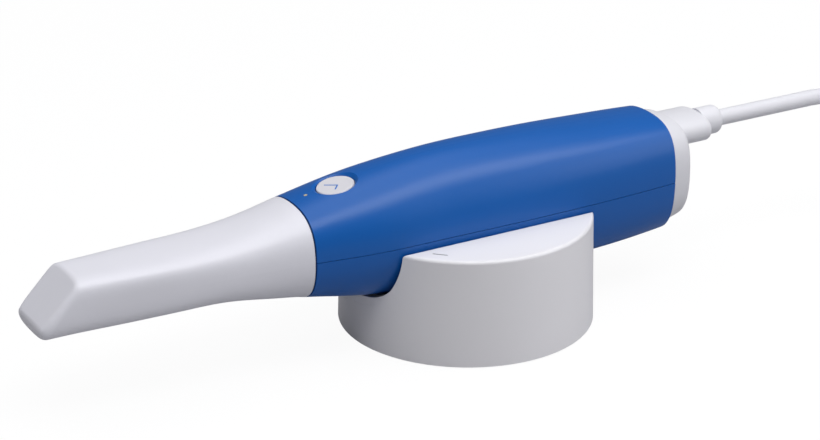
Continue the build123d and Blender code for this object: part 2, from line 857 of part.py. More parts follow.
with BuildPart() as socket_board:
    with BuildSketch(Plane.YZ.offset(chassis_rear_x)):
        with Locations((0, cable_height)):
            Rectangle(socket_board_half_width * 2, socket_board_height)
    extrude(amount=socket_board_thickness)
finish(socket_board.part, "socket_board")

with BuildPart() as cable_socket:
    with BuildSketch(Plane.YZ.offset(socket_front_x)):
        with Locations((0, cable_height)):
            RectangleRounded(socket_half_width * 2, socket_half_height * 2, socket_half_height / 2)
    extrude(amount=plug_front_x - socket_front_x - slip_gap)
    with BuildSketch(Plane.YZ.offset(plug_front_x)):
        with Locations((0, cable_height)):
            RectangleRounded(
                socket_slot_half_width * 2, socket_slot_half_height * 2, plug_tongue_half_height - plug_tongue_wall
            )
            RectangleRounded(
                socket_core_half_width * 2,
                socket_core_half_height * 2,
                socket_core_half_height / 2,
                mode=Mode.SUBTRACT,
            )
    extrude(amount=-plug_tongue_length - slip_gap * 2, mode=Mode.SUBTRACT)
finish(cable_socket.part, "cable_socket")

# Rear cap: a domed end with a skirt inside the shell and an oval opening for the plug
cap_end_x = shell_rear_x + cap_length
cap_steps = 3
cap_skirt_inset = shell_wall + slip_gap * 2
cap_outer_faces = [
    inset_face(
        place,
        cap_side_setback + cap_side_taper * step / cap_steps,
        cap_top_setback + cap_top_taper * step / cap_steps,
        cap_bottom_setback + cap_bottom_taper * step / cap_steps,
    )
    for step, place in enumerate(places_between(shell_rear_x, cap_end_x, cap_steps))
]
cap_inner_faces = [
    inset_face(
        place,
        cap_side_setback + cap_side_taper + cap_skirt_inset,
        cap_top_setback + cap_top_taper + cap_skirt_inset,
        cap_bottom_setback + cap_bottom_taper + cap_skirt_inset,
    )
    for place in places_between(shell_rear_x - cap_skirt_length - cut_overrun, cap_end_x - cap_wall, cap_steps)
]
cap_skirt_faces = outline_faces(shell_rear_x - cap_skirt_length, shell_rear_x, cap_steps, cap_skirt_inset)
plug_plane = Plane.YZ.offset(plug_front_x).shift_origin((plug_front_x, 0, cable_height))
plug_hole_face = oval_face(plug_half_width + plug_fit, plug_half_height + plug_fit, plug_plane)
plug_face = oval_face(plug_half_width, plug_half_height, plug_plane)

with BuildPart() as rear_cap:
    loft(sections=cap_outer_faces, clean=False)
    fillet(rear_cap.faces().sort_by(Axis.X)[-1].edges(), cap_edge_radius)
    loft(sections=cap_skirt_faces, clean=False)
    loft(sections=cap_inner_faces, clean=False, mode=Mode.SUBTRACT)
    extrude(plug_hole_face, amount=plug_buried + cut_overrun, mode=Mode.SUBTRACT)
    with BuildSketch(Plane.YZ.offset(plug_front_x)):
        with Locations((0, cable_height)):
            RectangleRounded(
                (socket_half_width + slip_gap) * 2, (socket_half_height + slip_gap) * 2, socket_half_height / 2
            )
    extrude(amount=-(cap_skirt_length + cap_length), mode=Mode.SUBTRACT)
finish(rear_cap.part, "rear_cap")

with BuildPart() as plug_body:
    extrude(plug_face, amount=plug_buried + plug_length)
    fillet(plug_body.faces().sort_by(Axis.X)[-1].edges(), plug_edge_radius)
finish(plug_body.part, "plug_body")

with BuildPart() as plug_shell:
    with BuildSketch(Plane.YZ.offset(plug_front_x)):
        with Locations((0, cable_height)):
            RectangleRounded(
                plug_tongue_half_width * 2, plug_tongue_half_height * 2, plug_tongue_half_height - plug_tongue_wall
            )
            offset(amount=-plug_tongue_wall, mode=Mode.SUBTRACT)
    extrude(amount=-plug_tongue_length)
finish(plug_shell.part, "plug_shell")

plug_end_x = plug_front_x + plug_buried + plug_length
collar_end_x = plug_end_x + collar_length

with BuildPart() as plug_collar:
    with BuildSketch(Plane.YZ.offset(plug_end_x)):
        with Locations((0, cable_height)):
            Circle(collar_radius)
    extrude(amount=collar_length)
    fillet(plug_collar.edges().filter_by(GeomType.CIRCLE).sort_by(Axis.X)[-1], collar_edge_radius)
finish(plug_collar.part, "plug_collar")

# Nose barrel with its window: it plugs the front of the shell and carries the tip
barrel_inset = tip_wall + barrel_gap
barrel_front_x = joint_x - barrel_length
barrel_rear_x = joint_x + barrel_root
barrel_steps = 5
barrel_outer_faces = outline_faces(barrel_front_x, barrel_rear_x, barrel_steps, barrel_inset)
barrel_inner_faces = outline_faces(
    barrel_front_x - cut_overrun, barrel_rear_x + cut_overrun, barrel_steps, barrel_inset + barrel_wall
)
window_faces = outline_faces(
    barrel_front_x, barrel_front_x + nose_glass_thickness, 1, barrel_inset + barrel_wall + slip_gap
)

with BuildPart() as nose_barrel:
    loft(sections=barrel_outer_faces, clean=False)
    loft(sections=barrel_inner_faces, clean=False, mode=Mode.SUBTRACT)
finish(nose_barrel.part, "nose_barrel")

with BuildPart() as nose_window:
    loft(sections=window_faces, clean=False)
finish(nose_window.part, "nose_window")

seal_outer_face = outline_face(joint_x, seal_setback)
seal_inner_face = outline_face(joint_x, barrel_inset - slip_gap)

with BuildPart() as joint_seal:
    extrude(seal_outer_face, amount=-seal_thickness)
    extrude(seal_inner_face, amount=-seal_thickness, mode=Mode.SUBTRACT)
finish(joint_seal.part, "joint_seal")

# Tip: a lofted sleeve, cut off on a slope at its nose, with a mirror behind the slope and a
# window under it
tip_steps = 10
tip_outer_faces = outline_faces(tip_rear_x, tip_end_x - cut_overrun, tip_steps)
tip_inner_faces = outline_faces(tip_rear_x + cut_overrun, tip_end_x - cut_overrun, tip_steps, tip_wall)
mirror_faces = outline_faces(tip_rear_x, tip_end_x - cut_overrun, tip_steps, tip_wall + slip_gap * 2)
tip_floor = parting_height - tip_drop
tip_roof = parting_height + tip_rise
slope_run = tan(radians(90 - tip_slope_angle))
front_top = tip_floor + tip_front_height


def nose_profile(depth, end_depth):
    """Side view of the tip's space, a depth behind the sloped face and another behind the front."""
    shift = depth / cos(radians(tip_slope_angle))
    low = tip_floor - tip_drop
    high = tip_roof + tip_rise
    front_x = tip_end_x + end_depth
    slope_top_x = tip_end_x + shift + (high - front_top) * slope_run
    slope_low_z = front_top + (end_depth - shift) / slope_run
    rear_x = tip_rear_x + cut_overrun * 2
    corners = ((rear_x, low), (front_x, low), (front_x, slope_low_z), (slope_top_x, high), (rear_x, high))
    return Plane.XZ * make_face(Polyline(*corners, close=True).edges())


tip_profile = nose_profile(0, 0)
cavity_profile = nose_profile(tip_wall, tip_wall)
mirror_back_profile = nose_profile(tip_wall + slip_gap, tip_wall + slip_gap)
mirror_front_profile = nose_profile(tip_wall + slip_gap + mirror_thickness, tip_wall)

with BuildPart() as tip_cavity:
    loft(sections=tip_inner_faces, clean=False)
    extrude(cavity_profile, amount=shell_half_width, both=True, mode=Mode.INTERSECT)

with BuildPart() as tip_shell:
    loft(sections=tip_outer_faces, clean=False)
    extrude(tip_profile, amount=shell_half_width, both=True, mode=Mode.INTERSECT)
    nose_faces = tip_shell.faces().filter_by(GeomType.PLANE).sort_by(Axis.X)[:2]
    fillet([edge for face in nose_faces for edge in face.edges()], tip_nose_radius)
    with BuildSketch(Plane.XY.offset(tip_floor - cut_overrun)):
        with Locations((tip_end_x + window_setback, 0)):
            Rectangle(window_setback + cut_overrun, shell_half_width * 2, align=(Align.MAX, Align.CENTER))
    extrude(amount=cut_overrun + window_relief, mode=Mode.SUBTRACT)
    add(tip_cavity.part, mode=Mode.SUBTRACT)
    with BuildSketch(Plane.XY.offset(tip_floor)):
        with Locations((tip_end_x + window_setback - window_relief, 0)):
            Rectangle(window_length, window_half_width * 2, align=(Align.MAX, Align.CENTER))
    extrude(amount=tip_wall * 2, mode=Mode.SUBTRACT)
finish(tip_shell.part, "tip_shell")

with BuildPart() as tip_mirror:
    loft(sections=mirror_faces, clean=False)
    extrude(mirror_back_profile, amount=shell_half_width, both=True, mode=Mode.INTERSECT)
    extrude(mirror_front_profile, amount=shell_half_width, both=True, mode=Mode.SUBTRACT)
finish(tip_mirror.part, "tip_mirror")

# Cable: straight out of the collar, down to the desk and on to the flat coil
coil_outer_turn = coil_turn_radius + coil_turns_per_layer * cable_radius
coil_height = cable_radius * 4
cable_points = [
    (collar_end_x + run * cable_run, -side * cable_sideways, cable_height + fall * (cable_radius - cable_height))
    for run, side, fall in cable_route_shares
]
entry_run = Vector(cable_points[-1]) - Vector(cable_points[-2])
entry_turn = degrees(atan2(entry_run.X, -entry_run.Y))
coil_x = cable_points[-1][0] - coil_outer_turn * cos(radians(entry_turn))
coil_y = cable_points[-1][1] - coil_outer_turn * sin(radians(entry_turn))


def tail_route():
    """Points from the end of the coil's upper layer to the hub plug, which lies on the coil."""
    start_height = coil_height - cable_radius
    rise_height = cable_radius + hub_plug_half_height
    route = [(cable_points[-1][0], cable_points[-1][1], start_height)]
    for index, (run, rise) in enumerate(tail_shares):
        heading = radians(entry_turn - 90 - tail_first_turn - tail_turn * index)
        x = route[-1][0] + tail_run * run * cos(heading)
        y = route[-1][1] + tail_run * run * sin(heading)
        route.append((x, y, start_height + rise * rise_height))
    return route


tail_points = tail_route()


def bend_radii(points):
    """Radius of the bend at each inner point of a route."""
    radii = []
    for before, here, after in zip(points, points[1:], points[2:]):
        run_in = Vector(here) - Vector(before)
        run_out = Vector(after) - Vector(here)
        half_turn = radians(run_in.get_angle(run_out)) / 2
        radii.append(bend_share * min(run_in.length, run_out.length) / tan(half_turn))
    return radii


with BuildPart() as cable:
    with BuildLine() as cable_path:
        FilletPolyline(*cable_points, radius=bend_radii(cable_points))
    with BuildSketch(Plane(cable_path.line @ 0, z_dir=cable_path.line % 0)):
        Circle(cable_radius)
    sweep()
finish(cable.part, "cable")

with BuildPart() as cable_tail:
    with BuildLine() as tail_path:
        FilletPolyline(*tail_points, radius=bend_radii(tail_points))
    with BuildSketch(Plane(tail_path.line @ 0, z_dir=tail_path.line % 0)):
        Circle(cable_radius)
    sweep()
finish(cable_tail.part, "cable_tail")

for name, points, path, tube in (
    ("cable", cable_points, cable_path.line, cable.part),
    ("cable_tail", tail_points, tail_path.line, cable_tail.part),
):
    bends = [round(radius, 1) for radius in bend_radii(points)]
    length = sum(edge.length for edge in path.edges())
    filled = tube.volume / (pi * cable_radius**2 * length)
    print(f"{name}: bends {bends}, length {length:.0f}, volume over section times length {filled:.4f}")

with BuildPart() as cable_coil:
    with BuildSketch():
        with Locations((coil_x, coil_y)):
            Circle(coil_outer_turn + cable_radius)
            Circle(coil_turn_radius * 2 - coil_outer_turn - cable_radius, mode=Mode.SUBTRACT)
    extrude(amount=coil_height)
    fillet(cable_coil.edges().filter_by(GeomType.CIRCLE), coil_edge_radius)
finish(cable_coil.part, "cable_coil")

# Plug at the hub end, lying on the coil
tail_direction = tail_path.line % 1
hub_collar_plane = Plane(tail_path.line @ 1, x_dir=tail_direction.cross(Vector(0, 0, 1)), z_dir=tail_direction)
hub_plug_plane = hub_collar_plane.offset(hub_collar_length)
hub_tongue_plane = hub_plug_plane.offset(hub_plug_length)
hub_plug_face = oval_face(hub_plug_half_width, hub_plug_half_height, hub_plug_plane)

with BuildPart() as hub_collar:
    with BuildSketch(hub_collar_plane):
        Circle(hub_collar_radius)
    extrude(amount=hub_collar_length)
    start_edge = hub_collar.edges().filter_by(GeomType.CIRCLE).sort_by(Axis(hub_collar_plane.origin, hub_collar_plane.z_dir))[0]
    fillet(start_edge, hub_collar_edge_radius)
finish(hub_collar.part, "hub_collar")

with BuildPart() as hub_plug:
    extrude(hub_plug_face, amount=hub_plug_length)
    fillet(hub_plug.faces().filter_by(GeomType.PLANE).edges(), hub_plug_edge_radius)
finish(hub_plug.part, "hub_plug")

with BuildPart() as hub_plug_shell:
    with BuildSketch(hub_tongue_plane):
        RectangleRounded(
            hub_tongue_half_width * 2, hub_tongue_half_height * 2, hub_tongue_half_height - hub_tongue_wall
        )
        offset(amount=-hub_tongue_wall, mode=Mode.SUBTRACT)
    extrude(amount=hub_tongue_length)
finish(hub_plug_shell.part, "hub_plug_shell")
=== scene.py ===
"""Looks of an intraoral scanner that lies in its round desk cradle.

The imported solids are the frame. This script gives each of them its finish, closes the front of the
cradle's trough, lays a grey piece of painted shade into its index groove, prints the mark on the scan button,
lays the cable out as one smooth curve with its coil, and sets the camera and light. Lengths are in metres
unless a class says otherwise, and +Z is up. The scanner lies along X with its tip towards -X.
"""

import logging
from dataclasses import dataclass, field
from enum import Enum
from math import atan2, cos, hypot, pi, radians, sin
from typing import Optional, Union

import bpy
from mathutils import Matrix, Vector


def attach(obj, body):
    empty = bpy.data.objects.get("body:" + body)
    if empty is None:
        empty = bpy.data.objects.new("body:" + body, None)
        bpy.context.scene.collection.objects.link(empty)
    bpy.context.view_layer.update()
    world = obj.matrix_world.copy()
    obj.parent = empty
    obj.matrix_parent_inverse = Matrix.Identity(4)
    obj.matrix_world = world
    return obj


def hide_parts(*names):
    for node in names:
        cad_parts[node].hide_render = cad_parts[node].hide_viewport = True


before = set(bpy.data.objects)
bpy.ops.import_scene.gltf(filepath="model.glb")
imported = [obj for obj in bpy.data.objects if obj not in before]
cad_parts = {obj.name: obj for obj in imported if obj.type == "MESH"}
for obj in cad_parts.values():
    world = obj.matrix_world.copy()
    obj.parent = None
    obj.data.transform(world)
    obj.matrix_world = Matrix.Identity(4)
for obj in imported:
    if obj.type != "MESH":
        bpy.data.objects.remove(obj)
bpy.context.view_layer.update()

MM = 0.001
SMOOTH_ANGLE = radians(35.0)
WHITE = (1.0, 1.0, 1.0, 1.0)
LOG = logging.getLogger("scanner")

Triple = tuple[float, float, float]
Colour = Triple
Place = Triple
Number = Union[float, "Term"]


class Body(Enum):
    """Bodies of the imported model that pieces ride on."""

    BASE = "scanner_and_cradle"
    SCAN_BUTTON = "scan_button"


class Slot(Enum):
    """Material slots of the record, which nothing here gives to new pieces."""

    CRADLE = "cradle_white"
    MARK = "shell_blue"
    CABLE = "cable_white"


class Grain(Enum):
    """How coarse a moulded surface's texture is: the size of a grain in metres."""

    POLISHED = 0.0012
    SATIN = 0.00035
    LEATHERY = 0.0009


def linear(colour: Colour) -> tuple[float, float, float, float]:
    """Scene colour of a display colour.

    Args:
        colour: red, green and blue from 0 to 255, as a screen shows them.

    Returns:
        The linear red, green, blue and alpha that a socket takes.
    """
    shares = [value / 255 for value in colour]
    parts = [s / 12.92 if s <= 0.04045 else ((s + 0.055) / 1.055) ** 2.4 for s in shares]
    return (parts[0], parts[1], parts[2], 1.0)


# Shader maths


class Term:
    """A number that varies over a surface, on which plain arithmetic adds Math nodes."""

    def __init__(self, recipe: "Recipe", socket: bpy.types.NodeSocket) -> None:
        """Wrap an output socket of a recipe's node tree."""
        self.recipe = recipe
        self.socket = socket

    def _join(self, operation: str, first: Number, second: Number, clamp: bool = False) -> "Term":
        """Add one Math node.

        Args:
            operation: name of the Math node's operation.
            first: its first value.
            second: its second value.
            clamp: keep the result from 0 to 1.

        Returns:
            The node's result.
        """
        node = self.recipe.node("ShaderNodeMath", {"operation": operation, "use_clamp": clamp}, {0: first, 1: second})
        return Term(self.recipe, node.outputs[0])

    def __add__(self, other: Number) -> "Term":
        """Sum."""
        return self._join("ADD", self, other)

    __radd__ = __add__

    def __sub__(self, other: Number) -> "Term":
        """Difference."""
        return self._join("SUBTRACT", self, other)

    def __mul__(self, other: Number) -> "Term":
        """Product."""
        return self._join("MULTIPLY", self, other)

    def limited(self) -> "Term":
        """The same value kept from 0 to 1."""
        return self._join("ADD", self, 0.0, clamp=True)


class Recipe:
    """Node tree of one material."""

    def __init__(self, name: str) -> None:
        """Start an empty material with a Principled shader.

        Args:
            name: the material's name.
        """
        self.material = bpy.data.materials.new(name)
        self.material.use_nodes = True
        self.tree = self.material.node_tree
        self.shader = self.tree.nodes["Principled BSDF"]

    def node(self, kind: str, settings: dict, sockets: dict) -> bpy.types.Node:
        """Add a node.

        Args:
            kind: the node's type.
            settings: its properties, which are set first.
            sockets: values, terms or sockets for its inputs, by name or place.

        Returns:
            The new node.
        """
        made = self.tree.nodes.new(kind)
        for name, value in settings.items():
            setattr(made, name, value)
        for key, value in sockets.items():
            self.feed(made.inputs[key], value)
        return made

    def feed(self, socket: bpy.types.NodeSocket, value: object) -> None:
        """Give an input a plain value, or link it to a term or socket."""
        if isinstance(value, Term):
            self.tree.links.new(value.socket, socket)
        elif isinstance(value, bpy.types.NodeSocket):
            self.tree.links.new(value, socket)
        else:
            socket.default_value = value

    def set(self, **values: object) -> None:
        """Set the Principled shader's inputs, with _ in the place of spaces."""
        for name, value in values.items():
            self.feed(self.shader.inputs[name.replace("_", " ")], value)

    def place(self) -> bpy.types.NodeSocket:
        """Place on the object in metres, in the shared frame."""
        return self.node("ShaderNodeTexCoord", {}, {}).outputs["Object"]

    def noise(self, size: float, detail: float, stretch: Optional[Triple] = None) -> Term:
        """Smooth noise from 0 to 1.

        Args:
            size: size of a blotch in metres.
            detail: how many finer layers it has.
            stretch: factors on the three directions, for grain that runs one way.

        Returns:
            The noise.
        """
        where = self.place()
        if stretch is not None:
            where = self.node("ShaderNodeMapping", {}, {"Vector": where, "Scale": stretch}).outputs[0]
        made = self.node("ShaderNodeTexNoise", {}, {"Vector": where, "Scale": 1 / size, "Detail": detail})
        return Term(self, made.outputs["Fac"])

    def mix(self, share: Number, first: Colour, second: Colour) -> bpy.types.NodeSocket:
        """Colour between two display colours, by a share that may vary."""
        made = self.node(
            "ShaderNodeMix",
            {"data_type": "RGBA"},
            {"Factor": share, 6: linear(first), 7: linear(second)},
        )
        return made.outputs[2]

    def bump(self, height: Term, depth: float) -> None:
        """Give the surface a relief of a depth in metres."""
        made = self.node("ShaderNodeBump", {}, {"Height": height, "Distance": depth, "Strength": 1.0})
        self.feed(self.shader.inputs["Normal"], made.outputs[0])


# Finishes


def shade(colour: Colour, factor: float) -> Colour:
    """A display colour made darker or lighter by a factor."""
    return tuple(min(255.0, part * factor) for part in colour)


@dataclass(frozen=True)
class Moulded:
    """Injection-moulded plastic or soft sheath with a fine even texture.

    Attributes:
        name: the material's name.
        colour: display colour.
        roughness: mean roughness.
        grain: texture of the mould.
        relief: depth of the texture in metres.
        flow: size in metres of the slow change of tone that the melt leaves.
        tone: how much darker the darkest tone is. The lightest is a third of that lighter.
        gloss: level of its mirror-like share, 0.5 for plain plastic.
        dip: how far the least roughness lies below the mean.
        melt_swing: how much the slow change of tone adds to the roughness.
        grain_swing: how much the texture adds to it.
        details: finer layers of the slow change and of the texture.
    """

    name: str
    colour: Colour
    roughness: float = 0.42
    grain: Grain = Grain.SATIN
    relief: float = 0.000004
    flow: float = 0.03
    tone: float = 0.03
    gloss: float = 0.5
    dip: float = 0.03
    melt_swing: float = 0.04
    grain_swing: float = 0.03
    details: tuple[float, float] = (2.0, 3.0)

    def build(self) -> bpy.types.Material:
        """Make the material."""
        recipe = Recipe(self.name)
        slow, quick = self.details
        melt = recipe.noise(self.flow, slow)
        fine = recipe.noise(self.grain.value, quick)
        recipe.set(
            Base_Color=recipe.mix(melt, shade(self.colour, 1 - self.tone), shade(self.colour, 1 + self.tone / 3)),
            Roughness=(self.roughness - self.dip + melt * self.melt_swing + fine * self.grain_swing).limited(),
            Specular_IOR_Level=self.gloss,
        )
        recipe.bump(fine, self.relief)
        return recipe.material


@dataclass(frozen=True)
class Metal:
    """Bare metal with grain along one direction.

    Attributes:
        name: the material's name.
        colour: display colour.
        roughness: mean roughness.
        run: factors that draw the grain out along one direction.
        grain: size of the grain and how many finer layers it has.
        swing: how much the roughness changes over the grain.
        haze: size of the blotches of haze and how many finer layers they have.
        dullest: how dark the haze leaves the metal.
        relief: depth of the grain.
    """

    name: str
    colour: Colour
    roughness: float = 0.34
    run: Triple = (0.08, 1.0, 1.0)
    grain: tuple[float, float] = (0.0003, 4.0)
    swing: float = 0.12
    haze: tuple[float, float] = (0.006, 2.0)
    dullest: float = 0.93
    relief: float = 0.000003

    def build(self) -> bpy.types.Material:
        """Make the material."""
        recipe = Recipe(self.name)
        grain = recipe.noise(*self.grain, self.run)
        haze = recipe.noise(*self.haze)
        recipe.set(
            Base_Color=recipe.mix(haze, shade(self.colour, self.dullest), self.colour),
            Metallic=1.0,
            Roughness=(self.roughness + (grain - 0.5) * self.swing).limited(),
        )
        recipe.bump(grain, self.relief)
        return recipe.material


@dataclass(frozen=True)
class Optic:
    """Polished glass or a front-surface mirror.

    Attributes:
        name: the material's name.
        colour: display colour.
        mirror: whether it reflects like metal.
        film: size of the blotches of the thin film on it, and how many finer layers they have.
        filmed: how dark the film leaves it.
        roughness: least roughness, and how much the film adds.
        ior: index of refraction of the glass.
        clear: share of the light that the glass lets through.
    """

    name: str
    colour: Colour
    mirror: bool = False
    film: tuple[float, float] = (0.004, 2.0)
    filmed: float = 0.98
    roughness: tuple[float, float] = (0.02, 0.03)
    ior: float = 1.52
    clear: float = 0.9

    def build(self) -> bpy.types.Material:
        """Make the material."""
        recipe = Recipe(self.name)
        film = recipe.noise(*self.film)
        least, added = self.roughness
        recipe.set(
            Base_Color=recipe.mix(film, shade(self.colour, self.filmed), self.colour),
            Roughness=(least + film * added).limited(),
            Metallic=1.0 if self.mirror else 0.0,
            IOR=self.ior,
            Transmission_Weight=0.0 if self.mirror else self.clear,
        )
        return recipe.material


@dataclass(frozen=True)
class Board:
    """Circuit board with solder mask and faint tracks.

    Attributes:
        name: the material's name.
        mask: display colour of the mask.
        track: display colour over a track.
        pitch: size of the rows of tracks.
        run: factors that draw the rows out along the board.
        edge: level of the noise at which a track starts.
        sharpness: how sharp the edge of a track is.
        roughness: roughness of the mask.
        coat: weight of its clear coat.
        relief: thickness of a track.
    """

    name: str
    mask: Colour
    track: Colour
    pitch: float = 0.0016
    run: Triple = (0.2, 1.0, 1.0)
    edge: float = 0.52
    sharpness: float = 14.0
    roughness: float = 0.38
    coat: float = 0.3
    relief: float = 0.00003

    def build(self) -> bpy.types.Material:
        """Make the material."""
        recipe = Recipe(self.name)
        rows = recipe.noise(self.pitch, 0.0, self.run)
        track = ((rows - self.edge) * self.sharpness).limited()
        recipe.set(
            Base_Color=recipe.mix(track, self.mask, self.track),
            Roughness=self.roughness,
            Coat_Weight=self.coat,
        )
        recipe.bump(track, self.relief)
        return recipe.material


SHELL_BLUE = Moulded("shell_blue", (4, 88, 170), roughness=0.33, relief=0.000003, tone=0.02, gloss=0.38)
TIP_WHITE = Moulded("tip_white", (222, 222, 231), roughness=0.45)
CAP_WHITE = Moulded("cap_white", (219, 219, 226), roughness=0.45)
CRADLE_WHITE = Moulded("cradle_white", (231, 230, 235), roughness=0.48, flow=0.05)
CRADLE_INNER = Moulded("cradle_inner", (150, 150, 154), roughness=0.55)
BUTTON_WHITE = Moulded("button_white", (214, 213, 220), roughness=0.4)
CABLE_WHITE = Moulded("cable_white", (223, 223, 230), roughness=0.5, grain=Grain.LEATHERY, flow=0.02)
LIGHT_LENS = Moulded("light_lens", (188, 178, 152), roughness=0.2, grain=Grain.POLISHED)
MARK_BLUE = Moulded("mark_blue", (30, 112, 196), roughness=0.5)
BLACK_PLASTIC = Moulded("black_plastic", (34, 34, 37), roughness=0.5, grain=Grain.LEATHERY)
FOOT_RUBBER = Moulded("foot_rubber", (52, 52, 54), roughness=0.8, grain=Grain.LEATHERY, relief=0.00002)
SEAL_RUBBER = Moulded("seal_dark", (16, 40, 88), roughness=0.7, grain=Grain.LEATHERY)
# Grey painted shade for the cradle's index groove, darker than the groove's own shading renders.
INDEX_GROOVE_SHADE = Moulded("index_groove_shade", (104, 104, 112), roughness=0.6)
STEEL = Metal("steel", (176, 176, 180))
CAST_METAL = Metal("chassis_metal", (190, 190, 194), roughness=0.5, run=(1.0, 1.0, 1.0))
IRON = Metal("ballast_iron", (104, 104, 108), roughness=0.62, run=(1.0, 1.0, 1.0))
SINK_METAL = Metal("sink_metal", (168, 168, 172), roughness=0.42)
BLACK_METAL = Metal("black_metal", (48, 48, 52), roughness=0.46)
GLASS = Optic("optic_glass", (236, 242, 246))
MIRROR = Optic("mirror_glass", (232, 235, 238), mirror=True)
BOARD_GREEN = Board("board_green", (20, 92, 54), (34, 122, 74))

Finish = Union[Moulded, Metal, Optic, Board]


class Workshop:
    """Makes each material once and puts it on pieces."""

    def __init__(self) -> None:
        """Start with no materials."""
        self.made: dict[str, bpy.types.Material] = {}

    def material(self, finish: Finish) -> bpy.types.Material:
        """The material of a finish, made at its first use."""
        if finish.name not in self.made:
            self.made[finish.name] = finish.build()
        return self.made[finish.name]

    def dress(self, piece: bpy.types.Object, finish: Finish) -> None:
        """Give a piece its finish in place of whatever it had."""
        piece.data.materials.clear()
        piece.data.materials.append(self.material(finish))
        LOG.info("%s has the finish %s", piece.name, finish.name)

    def dress_nodes(self, finishes: dict[str, Finish]) -> None:
        """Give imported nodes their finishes, by name."""
        for name, finish in finishes.items():
            self.dress(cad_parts[name], finish)


def take(body: Body, piece: bpy.types.Object) -> None:
    """Fix a new piece to a body.

    Args:
        body: what it moves with.
        piece: the finished piece.
    """
    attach(piece, body.value)


def deselect() -> None:
    """Select nothing."""
    bpy.ops.object.select_all(action="DESELECT")


def modify(piece: bpy.types.Object, kind: str, **settings: object) -> None:
    """Change a piece by a modifier and apply it.

    Args:
        piece: the piece.
        kind: the modifier's type.
        settings: the modifier's properties.
    """
    modifier = piece.modifiers.new(kind.lower(), kind)
    for name, value in settings.items():
        setattr(modifier, name, value)
    bpy.context.view_layer.objects.active = piece
    bpy.ops.object.modifier_apply(modifier=modifier.name)


def smooth(piece: bpy.types.Object) -> None:
    """Shade a piece smooth over its flatter edges."""
    deselect()
    piece.select_set(True)
    bpy.context.view_layer.objects.active = piece
    bpy.ops.object.shade_smooth_by_angle(angle=SMOOTH_ANGLE)


# The assembly


@dataclass(frozen=True)
class Ease:
    """Smooth step from nothing to an amount.

    Attributes:
        amount: where it ends.
        start: value at which it starts.
        run: change of the value over which it gets there.
    """

    amount: float
    start: float
    run: float

    def at(self, value: float) -> float:
        """How far the step has got at a value."""
        share = min(1.0, max(0.0, (value - self.start) / self.run))
        return self.amount * (share * share * (3 - 2 * share))


def corner(lead: float, trail: float, fullness: float) -> float:
    """Share of a section's half width or depth that its corner has reached.

    Args:
        lead: how far along the corner it is towards the end that is measured, from 0 to 1.
        trail: the rest of the way.
        fullness: fullness of the corner.

    Returns:
        The share.
    """
    return lead**3 + 3 * lead**2 * trail + 3 * lead * trail**2 * fullness


@dataclass
class TroughLip:
    """Front floor of the cradle's trough, which rises with the shell where the shell gets slimmer.

    All lengths are in millimetres. Its outer edges lie inside the cradle's wall.

    Attributes:
        parting: height of the parting line.
        half_width: half of the trough's width at the parting line.
        fullness: fullness of the corners of its section.
        sunk: how its rear end sinks into the wall, by the place along the scanner.
        tuck: how its sides sink into the wall, by the height.
        keel: greatest depth of the shell below the parting line.
        rise: factor and power by which the shell's underside rises with the distance from the middle.
        gap: space between the lip and the shell.
        wall: thickness of the lip with what lies in the wall.
        ends: places of its front, which the drum trims, and of its rear.
        reach: share of each half of the section that it covers.
        drum: radius of the cradle at its foot, and how much it loses for each millimetre of height.
        inset: how far its face lies behind the cradle's.
        span: heights of its lower and upper end.
        steps: points along it and over each half of its section.
        facets: sides of the cone that trims it.
    """

    parting: float = 39.8
    half_width: float = 21.8
    fullness: float = 0.69
    sunk: Ease = Ease(0.4, -18.0, 12.0)
    tuck: Ease = Ease(0.6, 23.0, 6.0)
    keel: float = 25.0
    rise: tuple[float, float] = (0.00263, 1.9)
    gap: float = 0.2
    wall: float = 3.9
    ends: tuple[float, float] = (-48.0, -4.0)
    reach: float = 0.8
    drum: tuple[float, float] = (44.3, 0.0262)
    inset: float = 0.04
    span: tuple[float, float] = (6.0, 36.6)
    steps: tuple[int, int] = (44, 28)
    facets: int = 360

    def point(self, place: float, turn: float) -> Vector:
        """Point of the lip's face.

        Args:
            place: how far along the scanner it lies.
            turn: from -1 at one edge of the trough, over 0 at its bottom, to 1 at the other edge.

        Returns:
            The point, in metres.
        """
        far = abs(turn)
        near = 1 - far
        factor, power = self.rise
        depth = self.keel + self.gap - factor * abs(place) ** power + self.sunk.at(place)
        height = self.parting - depth * corner(near, far, self.fullness)
        across = self.half_width * corner(far, near, self.fullness) + self.tuck.at(height)
        return Vector((place, across if turn > 0 else -across, height)) * MM

    def build(self, workshop: Workshop) -> None:
        """Bend a sheet to the lip's face, thicken it and trim it to the drum."""
        along, over = self.steps
        deselect()
        bpy.ops.mesh.primitive_grid_add(x_subdivisions=along, y_subdivisions=2 * over, size=2)
        lip = bpy.context.object
        lip.name = "cradle_trough_lip"
        start, end = self.ends
        for vertex in lip.data.vertices:
            place = start + (end - start) * (vertex.co.x + 1) / 2
            vertex.co = self.point(place, vertex.co.y * self.reach)
        modify(lip, "SOLIDIFY", thickness=self.wall * MM, offset=-1.0)
        trim = self.drum_block()
        modify(lip, "BOOLEAN", operation="INTERSECT", solver="EXACT", object=trim)
        bpy.data.objects.remove(trim)
        smooth(lip)
        workshop.dress(lip, CRADLE_WHITE)
        take(Body.BASE, lip)

    def drum_block(self) -> bpy.types.Object:
        """Solid cone just inside the cradle's outer face."""
        low, high = self.span
        foot, loss = self.drum
        deselect()
        bpy.ops.mesh.primitive_cone_add(
            vertices=self.facets,
            radius1=(foot - loss * low - self.inset) * MM,
            radius2=(foot - loss * high - self.inset) * MM,
            depth=(high - low) * MM,
            location=(0.0, 0.0, (low + high) / 2 * MM),
        )
        return bpy.context.object


